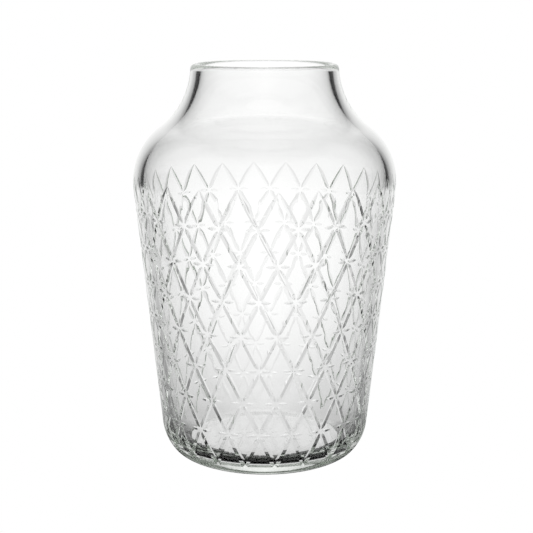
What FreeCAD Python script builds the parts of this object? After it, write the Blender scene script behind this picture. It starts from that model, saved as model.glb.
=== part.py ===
import FreeCAD, Part
import math
import os
import Sketcher

# Cut crystal vase: one blown and cut piece of lead crystal, standing on its foot at z = 0.
# Frame: millimetres, +Z up the axis of the vase, origin at the centre of the foot's resting face.
# Front of the vase is -Y.

V = FreeCAD.Vector

doc = FreeCAD.newDocument("CutCrystalVase")

# ---------------------------------------------------------------- sizes
SIZES = [
    ("vase_height", 250.0, "foot to the top of the rim"),
    ("foot_radius", 52.1, "flat resting face under the foot"),
    ("heel_radius", 11.1, "roll of the glass from the foot into the side"),
    ("heel_top", 4.2, "height where the heel's roll meets the lower body"),
    ("lower_radius", 29.0, "profile radius of the lower body"),
    ("body_lean", 5.95, "degrees the body's side leans outwards"),
    ("body_top", 172.3, "height where the straight side ends"),
    ("shoulder_radius", 42.5, "profile radius of the shoulder"),
    ("neck_radius", 48.8, "profile radius of the waisted neck"),
    ("wall", 6.4, "thickness of the wall, neck and rim"),
    ("floor_height", 8.0, "thickness of the glass under the cavity"),
    ("corner_radius", 15.0, "roll of the cavity from its floor into the side"),
    ("columns", 22, "diamonds around the body"),
    ("rows", 8, "half diamonds from the top points to the heel"),
    ("cut_top", 181.9, "height of the top points of the diamond cutting"),
    ("row_pitch", 22.5, "height of the first half diamond"),
    ("row_shrink", 0.27, "height each half diamond loses to the one above"),
    ("cut_turn", -2.6, "degrees the cutting is turned about the axis"),
    ("cut_gap", 1.5, "uncut glass between a crossing and the end of a cut"),
    ("cut_rise", 3.0, "length over which a cut reaches its full depth"),
    ("mitre_depth", 0.65, "full depth of the long cuts"),
    ("heel_depth", 0.9, "depth of the long cuts at the heel"),
    ("heel_run", 4.0, "how far they run on past the last crossing, out of the glass"),
    ("mitre_slope", 2.3, "half width of a cut over its depth"),
    ("star_end", 7.2, "reach of the short level cuts from their crossing"),
    ("star_deepest", 3.8, "where they are deepest, from their crossing"),
    ("star_depth", 0.5, "depth of the short level cuts"),
    ("cutter_height", 1.4, "how far the cutting edge stands clear of the glass"),
]
sheet = doc.addObject("Spreadsheet::Sheet", "Sizes")
for row, (alias, value, note) in enumerate(SIZES, start=1):
    sheet.set(f"A{row}", note)
    sheet.set(f"B{row}", str(value))
    sheet.setAlias(f"B{row}", alias)
doc.recompute()


def size(alias):
    return float(sheet.get(alias))


# ---------------------------------------------------------------- wall section
def on_arc(centre, radius, lean):
    """Point of an arc where its outline leans outwards by this angle from vertical."""
    return centre + V(radius * math.cos(lean), -radius * math.sin(lean), 0)


lean = math.radians(size("body_lean"))
wall = size("wall")
lip = wall / 2
heel_lean = math.asin(1 - size("heel_top") / size("heel_radius"))
neck_rise = size("vase_height") - size("body_top") - size("shoulder_radius") * math.sin(lean)
neck_lean = math.asin(neck_rise / (size("shoulder_radius") + size("neck_radius")))
lip_lean = math.asin(lip / (size("neck_radius") + lip))

foot_end = V(size("foot_radius"), 0, 0)
heel_centre = foot_end + V(0, size("heel_radius"), 0)
heel_end = on_arc(heel_centre, size("heel_radius"), heel_lean)
lower_centre = heel_end - on_arc(V(), size("lower_radius"), heel_lean)
side_start = on_arc(lower_centre, size("lower_radius"), lean)
side_end = V(side_start.x + (size("body_top") - side_start.y) * math.tan(lean), size("body_top"), 0)
shoulder_centre = side_end - on_arc(V(), size("shoulder_radius"), lean)
shoulder_end = on_arc(shoulder_centre, size("shoulder_radius"), -neck_lean)
neck_centre = shoulder_end + on_arc(V(), size("neck_radius"), -neck_lean)
lip_centre = neck_centre - on_arc(V(), size("neck_radius") + lip, -lip_lean)
corner_height = size("floor_height") + size("corner_radius")
inner_side_end = on_arc(shoulder_centre, size("shoulder_radius") - wall, lean)
corner_end_height = corner_height - size("corner_radius") * math.sin(lean)
corner_end_x = inner_side_end.x - (inner_side_end.y - corner_end_height) * math.tan(lean)
corner_centre = V(corner_end_x - size("corner_radius") * math.cos(lean), corner_height, 0)
corner_end = V(corner_end_x, corner_end_height, 0)
floor_end = corner_centre - V(0, size("corner_radius"), 0)
floor_axis = V(0, size("floor_height"), 0)


def arc(centre, radius, start, end):
    """Arc drawn anticlockwise between two angles in radians."""
    return Part.ArcOfCircle(Part.Circle(centre, V(0, 0, 1), radius), start, end)


body = doc.addObject("PartDesign::Body", "Blank")
section_plane = next(f for f in body.Origin.OriginFeatures if f.Role == "XZ_Plane")
section = body.newObject("Sketcher::SketchObject", "WallSection")
section.AttachmentSupport = [(section_plane, "")]
section.MapMode = "FlatFace"

half_turn = math.pi
OUTLINE = {
    "foot": Part.LineSegment(V(), foot_end),
    "heel": arc(heel_centre, size("heel_radius"), -half_turn / 2, -heel_lean),
    "lower": arc(lower_centre, size("lower_radius"), -heel_lean, -lean),
    "side": Part.LineSegment(side_start, side_end),
    "shoulder": arc(shoulder_centre, size("shoulder_radius"), -lean, neck_lean),
    "neck": arc(neck_centre, size("neck_radius"), half_turn + lip_lean, half_turn + neck_lean),
    "lip": arc(lip_centre, lip, lip_lean, half_turn + lip_lean),
    "inner_neck": arc(neck_centre, size("neck_radius") + wall, half_turn + lip_lean,
                      half_turn + neck_lean),
    "inner_shoulder": arc(shoulder_centre, size("shoulder_radius") - wall, -lean, neck_lean),
    "inner_side": Part.LineSegment(inner_side_end, corner_end),
    "corner": arc(corner_centre, size("corner_radius"), -half_turn / 2, -lean),
    "floor": Part.LineSegment(floor_end, floor_axis),
    "axis": Part.LineSegment(floor_axis, V()),
}
edge = {name: section.addGeometry(curve, False) for name, curve in OUTLINE.items()}
START, END, CENTRE = 1, 2, 3
ORIGIN = -1


def tie(kind, *ends):
    """Constrain named edges: each end is an edge name, alone or followed by a point of it."""
    section.addConstraint(Sketcher.Constraint(kind, *[edge.get(e, e) for e in ends]))


def drive(kind, name, expression, *ends):
    """Add a named dimension and bind it to the sizes."""
    refs = [edge.get(e, e) for e in ends]
    index = section.addConstraint(Sketcher.Constraint(kind, *refs))
    section.renameConstraint(index, name)
    section.setExpression(f"Constraints.{name}", expression)


tie("Coincident", "foot", START, ORIGIN, START)
tie("Horizontal", "foot")
tie("Tangent", "foot", END, "heel", START)
tie("Tangent", "heel", END, "lower", START)
tie("Tangent", "lower", END, "side", START)
tie("Tangent", "side", END, "shoulder", START)
tie("Tangent", "shoulder", END, "neck", END)
tie("Tangent", "neck", START, "lip", START)
tie("Tangent", "lip", END, "inner_neck", START)
tie("Tangent", "inner_neck", END, "inner_shoulder", END)
tie("Tangent", "inner_shoulder", START, "inner_side", START)
tie("Tangent", "inner_side", END, "corner", END)
tie("Tangent", "corner", START, "floor", START)
tie("Horizontal", "floor")
tie("Coincident", "floor", END, "axis", START)
tie("Coincident", "axis", END, "foot", START)
tie("Vertical", "axis")
tie("Coincident", "inner_neck", CENTRE, "neck", CENTRE)
tie("Coincident", "inner_shoulder", CENTRE, "shoulder", CENTRE)
tie("Parallel", "side", "inner_side")

drive("DistanceX", "foot_width", "Sizes.foot_radius", "foot", START, "foot", END, foot_end.x)
drive("Radius", "heel_roll", "Sizes.heel_radius", "heel", size("heel_radius"))
drive("DistanceY", "heel_rise", "Sizes.heel_top", ORIGIN, START, "heel", END, size("heel_top"))
drive("Radius", "lower_curve", "Sizes.lower_radius", "lower", size("lower_radius"))
drive("Angle", "side_lean", "90 - Sizes.body_lean", "side", half_turn / 2 - lean)
drive("DistanceY", "side_rise", "Sizes.body_top", ORIGIN, START, "side", END, size("body_top"))
drive("Radius", "shoulder_curve", "Sizes.shoulder_radius", "shoulder", size("shoulder_radius"))
drive("Radius", "neck_curve", "Sizes.neck_radius", "neck", size("neck_radius"))
drive("DistanceY", "neck_rise", "Sizes.vase_height", ORIGIN, START, "neck", CENTRE, neck_centre.y)
drive("Radius", "lip_roll", "Sizes.wall / 2", "lip", lip)
drive("DistanceY", "lip_rise", "Sizes.vase_height - Sizes.wall / 2", ORIGIN, START, "lip", CENTRE,
      lip_centre.y)
drive("Radius", "corner_roll", "Sizes.corner_radius", "corner", size("corner_radius"))
drive("DistanceY", "floor_rise", "Sizes.floor_height", ORIGIN, START, "floor", END,
      size("floor_height"))
doc.recompute()

blank = body.newObject("PartDesign::Revolution", "TurnedBlank")
blank.Profile = section
blank.ReferenceAxis = (section, ["V_Axis"])
blank.Angle = 360
section.Visibility = False
doc.recompute()


# ---------------------------------------------------------------- cutting pattern
def skin_radius(z):
    """Radius of the outer surface at a height on the lower body, side or shoulder."""
    if z < side_start.y:
        reach = lower_centre.y - z
        return lower_centre.x + math.sqrt(size("lower_radius") ** 2 - reach ** 2)
    if z < side_end.y:
        return side_start.x + (z - side_start.y) * math.tan(lean)
    reach = z - shoulder_centre.y
    return shoulder_centre.x + math.sqrt(size("shoulder_radius") ** 2 - reach ** 2)


columns = int(size("columns"))
rows = int(size("rows"))
step = 2 * math.pi / columns


def level_height(level):
    """Height of a level of crossings, level 0 being the top points."""
    return (size("cut_top") - size("row_pitch") * level
            + size("row_shrink") * level * (level - 1) / 2)


def crossing(level, half_steps):
    """Crossing of the mitre cuts, this many half columns round from the front."""
    angle = math.radians(size("cut_turn")) + half_steps * step / 2
    radius = skin_radius(level_height(level))
    return V(radius * math.sin(angle), -radius * math.cos(angle), level_height(level))


def mitre(spine, depths):
    """Solid V edge of a cutting wheel: its keel lies below the spine's points by the depths."""
    along = (spine[-1] - spine[0]).normalize()
    middle = (spine[-1] + spine[0]) * 0.5
    across = along.cross(V(middle.x, middle.y, 0)).normalize()
    out = across.cross(along).normalize()
    keel = [point - out * depth for point, depth in zip(spine, depths)]
    crest = max(point.dot(out) for point in spine) + size("cutter_height")
    flank = across * size("mitre_slope")
    left = [point + (out + flank) * (crest - point.dot(out)) for point in keel]
    right = [point + (out - flank) * (crest - point.dot(out)) for point in keel]
    outlines = [[keel[0], left[0], right[0]], [keel[-1], left[-1], right[-1]],
                left + right[::-1]]
    for i in range(len(spine) - 1):
        outlines.append([keel[i], keel[i + 1], left[i + 1], left[i]])
        outlines.append([keel[i], keel[i + 1], right[i + 1], right[i]])
    faces = [Part.Face(Part.makePolygon(points + points[:1])) for points in outlines]
    solid = Part.Solid(Part.Shell(faces))
    if solid.Volume < 0:
        solid.reverse()
    return solid


def long_cut(level, half_steps, turn):
    """Mitre cut from one crossing down to the next level, to the left or the right."""
    top = crossing(level, half_steps)
    low = crossing(level + 1, half_steps + turn)
    length = (low - top).Length
    along = (low - top).normalize()
    gap = size("cut_gap")
    full = gap + size("cut_rise")
    depth = size("mitre_depth")
    stations = [(0 if level == 0 else gap, 0), (length / 2 if level == 0 else full, depth)]
    if level < rows - 1:
        stations += [(length - full, depth), (length - gap, 0)]
    else:
        stations += [(length, size("heel_depth")), (length + size("heel_run"), size("heel_depth"))]
    return mitre([top + along * reach for reach, _ in stations], [sunk for _, sunk in stations])


def star_cut(level, half_steps, side):
    """Short level cut on one side of a crossing, running out of the glass at both ends."""
    centre = crossing(level, half_steps)
    radius = math.hypot(centre.x, centre.y)
    outward = V(centre.x, centre.y, 0).normalize()
    sideways = outward.cross(V(0, 0, 1)) * side
    stations = [(size("cut_gap"), 0), (size("star_deepest"), size("star_depth")), (size("star_end"), 0)]
    spine = [centre + sideways * reach - outward * (reach ** 2 / (2 * radius)) for reach, _ in stations]
    return mitre(spine, [sunk for _, sunk in stations])


cutters = []
for level in range(rows):
    for column in range(columns):
        half_steps = 2 * column + (level + 1) % 2
        for side in (-1, 1):
            cutters.append(long_cut(level, half_steps, side))
            if level > 0:
                cutters.append(star_cut(level, half_steps, side))

cutting = doc.addObject("Part::Feature", "DiamondCutting")
cutting.Shape = cutters[0].multiFuse(cutters[1:])
cutting.Visibility = False

vase = doc.addObject("Part::Cut", "vase_body")
vase.Base = body
vase.Tool = cutting
vase.Label = "vase_body"
vase.Placement = FreeCAD.Placement()
doc.recompute()

# ---------------------------------------------------------------- checks and export
for obj in doc.Objects:
    if "Invalid" in obj.State or "Error" in obj.State:
        raise RuntimeError(f"{obj.Name} did not compute: {obj.State}")
if vase.Shape.isNull() or not vase.Shape.isValid():
    raise RuntimeError("vase_body has no valid shape")
if len(vase.Shape.Solids) != 1:
    raise RuntimeError(f"vase_body has {len(vase.Shape.Solids)} solids")

os.makedirs("parts", exist_ok=True)
vase.Shape.exportStep("parts/vase_body.step")
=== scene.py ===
import math

import bmesh
import bpy
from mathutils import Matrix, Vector


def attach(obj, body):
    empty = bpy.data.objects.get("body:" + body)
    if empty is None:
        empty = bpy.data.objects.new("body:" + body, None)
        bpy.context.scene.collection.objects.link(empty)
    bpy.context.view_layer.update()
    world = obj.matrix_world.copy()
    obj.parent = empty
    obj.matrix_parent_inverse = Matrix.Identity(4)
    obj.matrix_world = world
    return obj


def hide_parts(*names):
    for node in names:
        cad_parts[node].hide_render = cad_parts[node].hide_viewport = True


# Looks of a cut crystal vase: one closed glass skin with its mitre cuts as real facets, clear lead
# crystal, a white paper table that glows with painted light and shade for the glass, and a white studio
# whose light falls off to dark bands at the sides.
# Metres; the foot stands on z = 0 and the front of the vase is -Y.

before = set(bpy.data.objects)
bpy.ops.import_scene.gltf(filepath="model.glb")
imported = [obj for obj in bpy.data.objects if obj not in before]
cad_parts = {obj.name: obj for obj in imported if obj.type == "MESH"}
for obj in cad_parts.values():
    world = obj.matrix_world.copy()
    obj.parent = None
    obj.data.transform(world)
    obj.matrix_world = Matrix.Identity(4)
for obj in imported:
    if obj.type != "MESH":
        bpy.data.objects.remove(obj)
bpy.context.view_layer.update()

MM = 0.001
PI = math.pi

# ------------------------------------------------------------------ the vase's own sizes, in mm
HEIGHT = 250.0
FOOT_RADIUS = 52.1
HEEL_RADIUS = 11.1
HEEL_TOP = 4.2
LOWER_RADIUS = 29.0
LEAN = math.radians(5.95)
BODY_TOP = 172.3
SHOULDER_RADIUS = 42.5
NECK_RADIUS = 48.8
WALL = 6.4
LIP = WALL / 2
FLOOR_HEIGHT = 8.0
CORNER_RADIUS = 15.0

COLUMNS = 22
ROWS = 8
CUT_TOP = 181.9
ROW_PITCH = 22.5
ROW_SHRINK = 0.27
CUT_TURN = math.radians(-2.6)
STEP = 2 * PI / COLUMNS

SLOPE = 2.3           # half width of a cut over its depth
CUT_LENGTH = 24.0     # about how far it is along a cut from crossing to crossing
END_CURVE = 0.8       # below 1 the ends of the cuts are blunter
CUT_GAP = 1.5         # uncut glass between a crossing and the end of a cut
CUT_RISE = 3.0        # length over which a cut reaches its full width
CUT_HALF = 1.495      # half width of the long cuts
HEEL_HALF = 2.07      # the same where they end at the heel
STAR_DEEPEST = 3.8    # where the short level cuts are widest, from their crossing
STAR_END = 7.2        # their reach from their crossing
STAR_HALF = 1.15      # their half width
TIP_LENGTH = 2.4      # how far the rounded tips reach below the last crossings

# Mesh steps on the cut body.
ACROSS = 9                                                 # from a crossing to the diamond's centre
RISE_SHARES = (0.25, 0.48, 0.68, 0.79, 0.87, 0.93, 1.0)    # from there up to its end corner
ALONG = ACROSS + len(RISE_SHARES)                          # along a cut
FACET = 2                                                  # across a cut's facet
TABLE = 4                                                  # across the plain glass between the cuts
SIDE = 3                                                   # down the side of a tip

# Mesh steps along the turned outline.
SHOULDER_STEPS = 18
NECK_STEPS = 20
LIP_STEPS = 14
INNER_SHOULDER_STEPS = 22
INNER_SIDE_STEPS = 8
CORNER_STEPS = 12
FLAT_STEPS = 5

# Shares of a long cut's length, and reaches of a short one in mm, that the mesh follows.
RISE_START = CUT_GAP / CUT_LENGTH
RISE_END = (CUT_GAP + CUT_RISE) / CUT_LENGTH
HALF_SHARES = [0.0, RISE_START]
HALF_SHARES += [RISE_START + (RISE_END - RISE_START) * t for t in (0.2, 0.5, 1.0)]
HALF_SHARES += [RISE_END + (0.5 - RISE_END) * t for t in (0.2, 0.45, 0.72)]
CUT_SHARES = HALF_SHARES + [0.5] + [1 - share for share in reversed(HALF_SHARES)]
STAR_REACHES = [0.0, CUT_GAP, 1.8, 2.4, STAR_DEEPEST, 4.9, 5.9, 6.7, STAR_END]


# ------------------------------------------------------------------ outline of the glass
def lean_point(centre, radius, lean):
    """Point of an arc where the outline leans outwards by this angle from vertical."""
    return (centre[0] + radius * math.cos(lean), centre[1] - radius * math.sin(lean))


HEEL_LEAN = math.asin(1 - HEEL_TOP / HEEL_RADIUS)
NECK_RISE = HEIGHT - BODY_TOP - SHOULDER_RADIUS * math.sin(LEAN)
NECK_LEAN = math.asin(NECK_RISE / (SHOULDER_RADIUS + NECK_RADIUS))
LIP_LEAN = math.asin(LIP / (NECK_RADIUS + LIP))
HEEL_CENTRE = (FOOT_RADIUS, HEEL_RADIUS)
HEEL_END = lean_point(HEEL_CENTRE, HEEL_RADIUS, HEEL_LEAN)
LOWER_CENTRE = lean_point(HEEL_END, -LOWER_RADIUS, HEEL_LEAN)
SIDE_START = lean_point(LOWER_CENTRE, LOWER_RADIUS, LEAN)
SIDE_END = (SIDE_START[0] + (BODY_TOP - SIDE_START[1]) * math.tan(LEAN), BODY_TOP)
SHOULDER_CENTRE = lean_point(SIDE_END, -SHOULDER_RADIUS, LEAN)
SHOULDER_END = lean_point(SHOULDER_CENTRE, SHOULDER_RADIUS, -NECK_LEAN)
NECK_CENTRE = lean_point(SHOULDER_END, NECK_RADIUS, -NECK_LEAN)
LIP_CENTRE = lean_point(NECK_CENTRE, -NECK_RADIUS - LIP, -LIP_LEAN)
INNER_SIDE_END = lean_point(SHOULDER_CENTRE, SHOULDER_RADIUS - WALL, LEAN)
CORNER_HEIGHT = FLOOR_HEIGHT + CORNER_RADIUS
CORNER_END_Z = CORNER_HEIGHT - CORNER_RADIUS * math.sin(LEAN)
CORNER_END = (INNER_SIDE_END[0] - (INNER_SIDE_END[1] - CORNER_END_Z) * math.tan(LEAN), CORNER_END_Z)
CORNER_CENTRE = (CORNER_END[0] - CORNER_RADIUS * math.cos(LEAN), CORNER_HEIGHT)


def skin(z):
    """Radius and outward lean of the uncut outer surface at a height between heel and shoulder."""
    if z < HEEL_TOP:
        lean = math.asin((HEEL_CENTRE[1] - z) / HEEL_RADIUS)
        return HEEL_CENTRE[0] + HEEL_RADIUS * math.cos(lean), lean
    if z < SIDE_START[1]:
        lean = math.asin((LOWER_CENTRE[1] - z) / LOWER_RADIUS)
        return LOWER_CENTRE[0] + LOWER_RADIUS * math.cos(lean), lean
    if z < BODY_TOP:
        return SIDE_START[0] + (z - SIDE_START[1]) * math.tan(LEAN), LEAN
    lean = math.asin((SHOULDER_CENTRE[1] - z) / SHOULDER_RADIUS)
    return SHOULDER_CENTRE[0] + SHOULDER_RADIUS * math.cos(lean), lean


def arc_points(centre, radius, first, last, count):
    """Points of an arc between two leans, without its first point."""
    leans = [first + (last - first) * i / count for i in range(1, count + 1)]
    return [lean_point(centre, radius, lean) for lean in leans]


def line_points(start, end, count):
    """Points of a straight stretch, without its first point."""
    return [(start[0] + (end[0] - start[0]) * i / count, start[1] + (end[1] - start[1]) * i / count)
            for i in range(1, count + 1)]


# ------------------------------------------------------------------ mesh under construction
WELD_STEPS = 500      # points are welded on a lattice of this many steps to the mm
WELD_SHIFT = 0.13     # which keeps round values of the sizes off the lattice's own boundaries


class Glass:
    """Collects welded points and faces of the vase in mm."""

    def __init__(self):
        self.points = []
        self.index = {}
        self.faces = []
        self.creases = set()

    def point(self, x, y, z):
        key = tuple(round(value * WELD_STEPS + WELD_SHIFT) for value in (x, y, z))
        if key not in self.index:
            self.index[key] = len(self.points)
            self.points.append((x, y, z))
        return self.index[key]

    def on_skin(self, u, z, depth=0.0):
        """Point of the outer surface, u columns round from the front, sunk by a depth."""
        radius, lean = skin(z)
        reach = radius - depth * math.cos(lean)
        angle = CUT_TURN + u * STEP
        return self.point(reach * math.sin(angle), -reach * math.cos(angle), z + depth * math.sin(lean))

    def grid(self, rows, crease_rows=(), crease_ends=()):
        """Quads between rows of points; creases run along chosen rows, or down chosen columns."""
        for upper, lower in zip(rows, rows[1:]):
            for i in range(len(upper) - 1):
                face = []
                for p in (upper[i], upper[i + 1], lower[i + 1], lower[i]):
                    if p not in face:
                        face.append(p)
                if len(face) > 2:
                    self.faces.append(face)
        for r in crease_rows:
            # Where the strip has no width its edges stay smooth.
            for i in range(len(rows[r]) - 1):
                if rows[0][i] != rows[-1][i] or rows[0][i + 1] != rows[-1][i + 1]:
                    self.crease(rows[r][i:i + 2])
        for c in crease_ends:
            self.crease([row[c] for row in rows])

    def crease(self, chain):
        for a, b in zip(chain, chain[1:]):
            if a != b:
                self.creases.add((min(a, b), max(a, b)))


def level_height(level):
    return CUT_TOP - ROW_PITCH * level + ROW_SHRINK * level * (level - 1) / 2


def swell(reach, gap, rise):
    """Share of its full width that a cut has at this reach from a crossing, the end rounded."""
    t = min(max((reach - gap) / rise, 0.0), 1.0)
    return math.sin(t * PI / 2) ** END_CURVE if t > 0 else 0.0


def open_share(run, rise):
    """Where the edge of a full-width cut meets the level of its crossing: share of its length, reach."""
    length = math.hypot(run, rise)
    share = run / length * HEEL_HALF / rise
    return share, run * share + rise / length * HEEL_HALF


def mix(a, b, t):
    return tuple(p + (q - p) * t for p, q in zip(a, b))


def quarter(glass, u_side, level, toward, up):
    """A quarter of a diamond: from its side corner A along a cut to its end corner B.

    Local x runs from A to the diamond's centre C and y from A's level to B's, both in mm.
    """
    radius = skin(level_height(level))[0]
    half_wide = radius * STEP / 2
    end_level = level - up
    half_high = abs(level_height(end_level) - level_height(level))
    length = math.hypot(half_wide, half_high)
    off = (half_high / length, -half_wide / length)

    def place(x, y, depth=0.0):
        z = level_height(level) + up * y
        return glass.on_skin(u_side + toward * 0.5 * x / half_wide, z, depth)

    def half_width(share):
        down = share * (end_level - level) + level
        if down > ROWS - 1:
            low = CUT_HALF + (HEEL_HALF - CUT_HALF) * (down - ROWS + 1)
            return low * swell((down - ROWS + 1) * CUT_LENGTH, CUT_GAP, CUT_RISE)
        if down < 1:
            return CUT_HALF * min(swell(down * CUT_LENGTH, 0.0, CUT_LENGTH / 2),
                                  swell((1 - down) * CUT_LENGTH, CUT_GAP, CUT_RISE))
        reach = CUT_LENGTH * min(share, 1 - share)
        return CUT_HALF * swell(reach, CUT_GAP, CUT_RISE)

    # Where the cuts are still open, at the last crossings, their edges start and end apart.
    first = open_share(half_wide, half_high)[0] if level == ROWS else 0.0
    last = 1 - open_share(half_high, half_wide)[0] if end_level == ROWS else 1.0
    valley = []
    edge = []
    for share in CUT_SHARES:
        valley.append((half_wide * share, half_high * share, half_width(share) / SLOPE))
        if share < 0.5:
            on_edge = first + (0.5 - first) * share * 2
        else:
            on_edge = last - (last - 0.5) * (1 - share) * 2
        wide = half_width(on_edge)
        edge.append((half_wide * on_edge + off[0] * wide, half_high * on_edge + off[1] * wide, 0.0))
    if level == ROWS:
        edge[0] = (open_share(half_wide, half_high)[1], 0.0, 0.0)
    if end_level == ROWS:
        edge[-1] = (half_wide, half_high - open_share(half_high, half_wide)[1], 0.0)
    # Outer border: from the side corner to the diamond's centre, then up to its end corner.
    has_star = 0 < level < ROWS
    border = []
    star_valley = []
    for i in range(ACROSS + 1):
        reach = mix(edge[0], (half_wide, 0.0, 0.0), i / ACROSS)[0]
        wide = 0.0
        if has_star:
            reach = (STAR_REACHES + [half_wide])[i]
            wide = STAR_HALF * min(swell(reach, CUT_GAP, STAR_DEEPEST - CUT_GAP),
                                   swell(STAR_END - reach, 0.0, STAR_END - STAR_DEEPEST))
        border.append((reach, wide, 0.0))
        star_valley.append((reach, 0.0, wide / SLOPE))
    border += [(half_wide, edge[-1][1] * share, 0.0) for share in RISE_SHARES]

    facet = [[place(*mix(valley[i], edge[i], j / FACET)) for i in range(ALONG + 1)]
             for j in range(FACET + 1)]
    glass.grid(facet, crease_rows=(0, FACET), crease_ends=(0, ALONG))
    table = [[place(*mix(edge[i], border[i], j / TABLE)) for i in range(ALONG + 1)]
             for j in range(TABLE + 1)]
    glass.grid(table)
    if has_star:
        star = [[place(*mix(star_valley[i], border[i], j / FACET)) for i in range(ACROSS + 1)]
                for j in range(FACET + 1)]
        glass.grid(star, crease_rows=(0, FACET))


def cut_tips(glass):
    """Rounded ends of the cuts where they run out on the heel, and the glass between them."""
    z_tip = level_height(ROWS)
    radius = skin(z_tip)[0]
    half_wide = radius * STEP / 2
    half_high = level_height(ROWS - 1) - z_tip
    tip_half = open_share(half_wide, half_high)[1]
    drop = z_tip - HEEL_TOP
    depth = HEEL_HALF / SLOPE
    around = 2 * ACROSS + 2 * SIDE
    box = [(half_wide, drop * i / SIDE) for i in range(SIDE)]
    box += [(half_wide - half_wide * i / ACROSS, drop) for i in range(2 * ACROSS)]
    box += [(-half_wide, drop - drop * i / SIDE) for i in range(SIDE + 1)]
    for column in range(COLUMNS):
        u_tip = column + 0.5

        def place(x, y, sunk):
            return glass.on_skin(u_tip + 0.5 * x / half_wide, z_tip - y, sunk)

        tip = [(tip_half * math.cos(PI * i / around), TIP_LENGTH * math.sin(PI * i / around))
               for i in range(around + 1)]
        tip[0] = (tip_half, 0.0)
        tip[-1] = (-tip_half, 0.0)
        scoop = [[place(*mix((0.0, 0.0, depth), (*p, 0.0), j / FACET)) for p in tip]
                 for j in range(FACET + 1)]
        glass.grid(scoop, crease_rows=(FACET,))
        skirt = [[place(*mix(p, q, j / ACROSS), 0.0) for p, q in zip(tip, box)]
                 for j in range(ACROSS + 1)]
        glass.grid(skirt)


def turned(glass, outline):
    """Surface of revolution through outline points (radius, z)."""
    count = COLUMNS * 2 * ACROSS
    rows = []
    for radius, z in outline:
        row = []
        for i in range(count + 1):
            angle = CUT_TURN + STEP * (i % count) / (2 * ACROSS)
            row.append(glass.point(radius * math.sin(angle), -radius * math.cos(angle), z))
        rows.append(row)
    glass.grid(rows)


def build_vase():
    glass = Glass()
    for level in range(ROWS + 1):
        for column in range(COLUMNS):
            u = column + (0.0 if level % 2 else 0.5)
            for toward in (-1, 1):
                if level > 0:
                    quarter(glass, u, level, toward, 1)
                if level < ROWS:
                    quarter(glass, u, level, toward, -1)
    cut_tips(glass)

    top_radius, top_lean = skin(CUT_TOP)
    outside = [(top_radius, CUT_TOP)]
    outside += arc_points(SHOULDER_CENTRE, SHOULDER_RADIUS, top_lean, -NECK_LEAN, SHOULDER_STEPS)
    outside += arc_points(NECK_CENTRE, -NECK_RADIUS, -NECK_LEAN, -LIP_LEAN, NECK_STEPS)
    outside += arc_points(LIP_CENTRE, LIP, -LIP_LEAN, -PI - LIP_LEAN, LIP_STEPS)
    turned(glass, outside)
    inside = [outside[-1]]
    inside += arc_points(NECK_CENTRE, -NECK_RADIUS - WALL, -LIP_LEAN, -NECK_LEAN, NECK_STEPS)
    inner_shoulder = SHOULDER_RADIUS - WALL
    inside += arc_points(SHOULDER_CENTRE, inner_shoulder, -NECK_LEAN, LEAN, INNER_SHOULDER_STEPS)
    inside += line_points(INNER_SIDE_END, CORNER_END, INNER_SIDE_STEPS)
    inside += arc_points(CORNER_CENTRE, CORNER_RADIUS, LEAN, PI / 2, CORNER_STEPS)
    inside += line_points((CORNER_CENTRE[0], FLOOR_HEIGHT), (0.0, FLOOR_HEIGHT), FLAT_STEPS)
    turned(glass, inside)
    under = [HEEL_END]
    under += arc_points(HEEL_CENTRE, HEEL_RADIUS, HEEL_LEAN, PI / 2, CORNER_STEPS)
    under += line_points((FOOT_RADIUS, 0.0), (0.0, 0.0), FLAT_STEPS)
    turned(glass, under)

    mesh = bpy.data.meshes.new("vase_glass")
    mesh.from_pydata([Vector(p) * MM for p in glass.points], [], glass.faces)
    bm = bmesh.new()
    bm.from_mesh(mesh)
    bmesh.ops.recalc_face_normals(bm, faces=bm.faces)
    for face in bm.faces:
        face.smooth = True
    for bm_edge in bm.edges:
        ends = sorted(v.index for v in bm_edge.verts)
        bm_edge.smooth = tuple(ends) not in glass.creases
    if any(len(bm_edge.link_faces) != 2 for bm_edge in bm.edges):
        raise RuntimeError("the glass skin is not closed")
    bm.to_mesh(mesh)
    bm.free()
    vase = bpy.data.objects.new("vase_glass", mesh)
    bpy.context.scene.collection.objects.link(vase)
    return vase


# ------------------------------------------------------------------ materials
def new_material(name):
    material = bpy.data.materials.new(name)
    material.use_nodes = True
    nodes = material.node_tree.nodes
    return material, nodes, material.node_tree.links, nodes["Principled BSDF"]


GLASS_INDEX = 1.545
GLASS_DEPTH_COLOR = (0.82, 0.93, 0.80, 1.0)
GLASS_DEPTH_DENSITY = 2.2
RIPPLE_SCALE = 45.0
RIPPLE_STRENGTH = 0.025
RIPPLE_DEPTH = 0.0006


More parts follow.
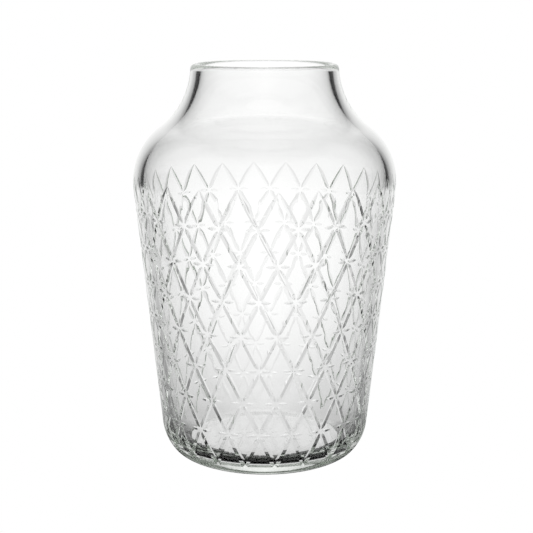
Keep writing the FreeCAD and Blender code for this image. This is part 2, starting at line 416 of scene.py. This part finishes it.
def crystal():
    """Clear crystal: a trace of grey-green in the depth of the glass, a faint ripple on its skin."""
    material, nodes, links, shader = new_material("crystal")
    shader.inputs["Base Color"].default_value = (1.0, 1.0, 1.0, 1.0)
    shader.inputs["Transmission Weight"].default_value = 1.0
    shader.inputs["IOR"].default_value = GLASS_INDEX
    shader.inputs["Roughness"].default_value = 0.0

    place = nodes.new("ShaderNodeTexCoord")
    ripple = nodes.new("ShaderNodeTexNoise")
    ripple.inputs["Scale"].default_value = RIPPLE_SCALE
    ripple.inputs["Detail"].default_value = 1.0
    links.new(place.outputs["Object"], ripple.inputs["Vector"])
    bump = nodes.new("ShaderNodeBump")
    bump.inputs["Strength"].default_value = RIPPLE_STRENGTH
    bump.inputs["Distance"].default_value = RIPPLE_DEPTH
    links.new(ripple.outputs["Fac"], bump.inputs["Height"])
    links.new(bump.outputs["Normal"], shader.inputs["Normal"])

    depth = nodes.new("ShaderNodeVolumeAbsorption")
    depth.inputs["Color"].default_value = GLASS_DEPTH_COLOR
    depth.inputs["Density"].default_value = GLASS_DEPTH_DENSITY
    links.new(depth.outputs["Volume"], nodes["Material Output"].inputs["Volume"])
    return material


# ------------------------------------------------------------------ studio
TABLE_HALF_WIDTH = 0.55
TABLE_FRONT = -0.70
TABLE_BACK = 3.0
TABLE_DROP = 0.0003   # keeps the paper clear of the foot

# The camera sees plain white; these levels shape the light that the glass sees. They stand at angles
# round, in degrees from straight behind the vase, and at degrees of rise. The dark bands at 39 to 56
# degrees draw the edges of the glass.
ROUND_FALL = ((0, 1.0), (8, 0.95), (15, 0.84), (22, 0.74), (28, 0.62), (33, 0.45), (36, 0.26), (38, 0.04),
              (39, 0.0), (56, 0.0), (64, 0.25), (78, 0.42), (100, 0.52), (150, 0.58), (180, 0.7))
# The same for light that comes from below, past the sides of the table, without the dark bands.
LOW_ROUND_FALL = ((0, 1.0), (17, 0.92), (30, 0.82), (45, 0.70), (60, 0.62), (90, 0.62), (150, 0.66),
                  (180, 0.8))
LEVEL_SHARE = ((-30, 0.0), (-10, 0.0), (-7, 1.0), (0, 1.0))    # where ROUND_FALL takes over, by rise
RISE_FALL = ((-90, 1.04), (-3, 1.04), (2, 1.02), (35, 1.02), (48, 0.9), (60, 0.0))

# The table's painted light, by angle round a point a little in front of the vase, and by distance in
# metres; darker close to the vase, a painted shade of the vase.
TABLE_ROUND = 0.03
TABLE_ROUND_FALL = ((0, 1.0), (9, 0.95), (18, 0.84), (28, 0.74), (42, 0.63), (50, 0.52), (58, 0.28),
                    (70, 0.22), (84, 0.42), (95, 0.50), (150, 0.52), (180, 0.6))
TABLE_FALL_END = 1.5
TABLE_FALL = ((0.0, 0.84), (0.10, 0.88), (0.20, 0.96), (0.30, 1.04), (0.40, 1.09), (0.60, 1.13),
              (1.0, 1.12), (TABLE_FALL_END, 1.06))
# Painted shadow in front of the foot, by distance and by angle round.
FOOT_SHADE_END = 0.3
FOOT_SHADE = ((0, 1.0), (0.075, 1.0), (0.11, 0.0), (FOOT_SHADE_END, 0.0))
FRONT_SHADE = ((0, 0.0), (60, 0.0), (85, 1.0), (180, 1.0))
# The paper under the foot: a painted pool of light for the light that reaches it through the glass from
# behind.
UNDER_LIGHT = 0.72
UNDER_RISE = 1.8      # how it grows towards the back, per metre
UNDER_RADIUS = 0.051
UNDER_BACK = 0.004    # how far behind the axis the lit paper is centred


def white_to_camera(tree, seen_by_glass):
    """Brightness that is plain white straight to the camera, and this socket's value to the glass."""
    path = tree.nodes.new("ShaderNodeLightPath")
    blend = tree.nodes.new("ShaderNodeMix")
    tree.links.new(path.outputs["Is Camera Ray"], blend.inputs["Factor"])
    tree.links.new(seen_by_glass, blend.inputs["A"])
    blend.inputs["B"].default_value = 1.0
    return blend.outputs["Result"]


def calculate(tree, operation, *inputs):
    node = tree.nodes.new("ShaderNodeMath")
    node.operation = operation
    for socket, value in zip(node.inputs, inputs):
        if isinstance(value, (int, float)):
            socket.default_value = value
        else:
            tree.links.new(value, socket)
    return node.outputs["Value"]


def ramp(tree, value, stops, start, end):
    """Colour ramp through stops (value, level) over a range of values."""
    fall = tree.nodes.new("ShaderNodeValToRGB")
    share = calculate(tree, "DIVIDE", calculate(tree, "SUBTRACT", value, start), end - start)
    tree.links.new(share, fall.inputs["Fac"])
    elements = fall.color_ramp.elements
    elements[0].position, elements[-1].position = 0.0, 1.0
    elements[0].color = (stops[0][1],) * 3 + (1.0,)
    elements[-1].color = (stops[-1][1],) * 3 + (1.0,)
    for at, level in stops:
        elements.new((at - start) / (end - start)).color = (level, level, level, 1.0)
    return fall.outputs["Color"]


def round_light(tree, x, y, fall):
    """Share of the light by the angle round from straight behind."""
    turn = calculate(tree, "DEGREES", calculate(tree, "ABSOLUTE", calculate(tree, "ARCTAN2", x, y)))
    return ramp(tree, turn, fall, 0, 180)


def distance(tree, x, y):
    squares = calculate(tree, "ADD", calculate(tree, "POWER", x, 2.0), calculate(tree, "POWER", y, 2.0))
    return calculate(tree, "SQRT", squares)


def coordinates(tree, kind):
    place = tree.nodes.new("ShaderNodeTexCoord")
    parts = tree.nodes.new("ShaderNodeSeparateXYZ")
    tree.links.new(place.outputs[kind], parts.inputs["Vector"])
    return parts.outputs["X"], parts.outputs["Y"], parts.outputs["Z"]


def table_top():
    """White paper table that glows: plain white to the camera, and to the glass with painted light
    falling off towards the vase and the sides, the foot's painted shadow and a painted pool of light
    under the foot.
    """
    ends = [(-TABLE_HALF_WIDTH, TABLE_FRONT), (TABLE_HALF_WIDTH, TABLE_FRONT),
            (TABLE_HALF_WIDTH, TABLE_BACK), (-TABLE_HALF_WIDTH, TABLE_BACK)]
    mesh = bpy.data.meshes.new("studio_table")
    mesh.from_pydata([(x, y, -TABLE_DROP) for x, y in ends], [], [(0, 1, 2, 3)])
    floor = bpy.data.objects.new("studio_table", mesh)
    bpy.context.scene.collection.objects.link(floor)
    material = bpy.data.materials.new("table_paper_painted_light")
    material.use_nodes = True
    tree = material.node_tree
    tree.nodes.clear()
    x, y, _ = coordinates(tree, "Object")
    away = distance(tree, x, y)
    # Painted light of the paper: darker near the vase and towards the sides.
    by_distance = ramp(tree, away, TABLE_FALL, 0, TABLE_FALL_END)
    by_angle = round_light(tree, x, calculate(tree, "ADD", y, TABLE_ROUND), TABLE_ROUND_FALL)
    # Painted shadow of the foot on the paper.
    foot_shade = ramp(tree, away, FOOT_SHADE, 0, FOOT_SHADE_END)
    shade = calculate(tree, "MULTIPLY", foot_shade, round_light(tree, x, y, FRONT_SHADE))
    open_light = calculate(tree, "MULTIPLY", by_distance, by_angle)
    open_light = calculate(tree, "MULTIPLY", open_light, calculate(tree, "SUBTRACT", 1.0, shade))
    # Painted pool of light on the paper under the foot.
    under_light = calculate(tree, "MULTIPLY_ADD", y, UNDER_LIGHT * UNDER_RISE, UNDER_LIGHT)
    under = distance(tree, x, calculate(tree, "SUBTRACT", y, UNDER_BACK))
    blend = tree.nodes.new("ShaderNodeMix")
    tree.links.new(calculate(tree, "LESS_THAN", under, UNDER_RADIUS), blend.inputs["Factor"])
    tree.links.new(open_light, blend.inputs["A"])
    tree.links.new(under_light, blend.inputs["B"])
    # The paper's glow carries the painted light and shade; the camera sees it plain white.
    glow = tree.nodes.new("ShaderNodeEmission")
    output = tree.nodes.new("ShaderNodeOutputMaterial")
    tree.links.new(white_to_camera(tree, blend.outputs["Result"]), glow.inputs["Strength"])
    tree.links.new(glow.outputs["Emission"], output.inputs["Surface"])
    mesh.materials.append(material)


def studio_light():
    """A white panel behind the vase, a dark band each side of it and a dimmer white room in front."""
    world = bpy.data.worlds.new("studio")
    bpy.context.scene.world = world
    world.use_nodes = True
    tree = world.node_tree
    x, y, z = coordinates(tree, "Generated")
    rise = calculate(tree, "DEGREES", calculate(tree, "ARCSINE", z))
    blend = tree.nodes.new("ShaderNodeMix")
    tree.links.new(ramp(tree, rise, LEVEL_SHARE, -30, 0), blend.inputs["Factor"])
    tree.links.new(round_light(tree, x, y, LOW_ROUND_FALL), blend.inputs["A"])
    tree.links.new(round_light(tree, x, y, ROUND_FALL), blend.inputs["B"])
    by_rise = ramp(tree, rise, RISE_FALL, -90, 90)
    panel = calculate(tree, "MULTIPLY", blend.outputs["Result"], by_rise)
    background = tree.nodes["Background"]
    background.inputs["Color"].default_value = (1.0, 1.0, 1.0, 1.0)
    tree.links.new(white_to_camera(tree, panel), background.inputs["Strength"])


CAMERA_AWAY = 0.793
CAMERA_HEIGHT = 0.2919
CAMERA_DOWN = math.radians(12.18)
CAMERA_LENS = 85.1
CAMERA_SENSOR = 36.0
CAMERA_SHIFT = 0.0034


def photo_camera():
    data = bpy.data.cameras.new("photo_camera")
    data.sensor_width = CAMERA_SENSOR
    data.lens = CAMERA_LENS
    data.shift_x = CAMERA_SHIFT
    camera = bpy.data.objects.new("photo_camera", data)
    camera.location = (0.0, -CAMERA_AWAY, CAMERA_HEIGHT)
    camera.rotation_euler = (PI / 2 - CAMERA_DOWN, 0.0, 0.0)
    bpy.context.scene.collection.objects.link(camera)
    bpy.context.scene.camera = camera


# ------------------------------------------------------------------ scene
LIGHT_BOUNCES = 40    # a ray crosses many facets on its way through the cut glass

scene = bpy.context.scene
scene.view_settings.view_transform = "Standard"
scene.view_settings.look = "None"
scene.cycles.max_bounces = LIGHT_BOUNCES
scene.cycles.transmission_bounces = LIGHT_BOUNCES
scene.cycles.glossy_bounces = LIGHT_BOUNCES
scene.cycles.transparent_max_bounces = LIGHT_BOUNCES

vase = build_vase()
vase.data.materials.append(crystal())
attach(vase, "root")
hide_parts("vase_body")

table_top()
studio_light()
photo_camera()
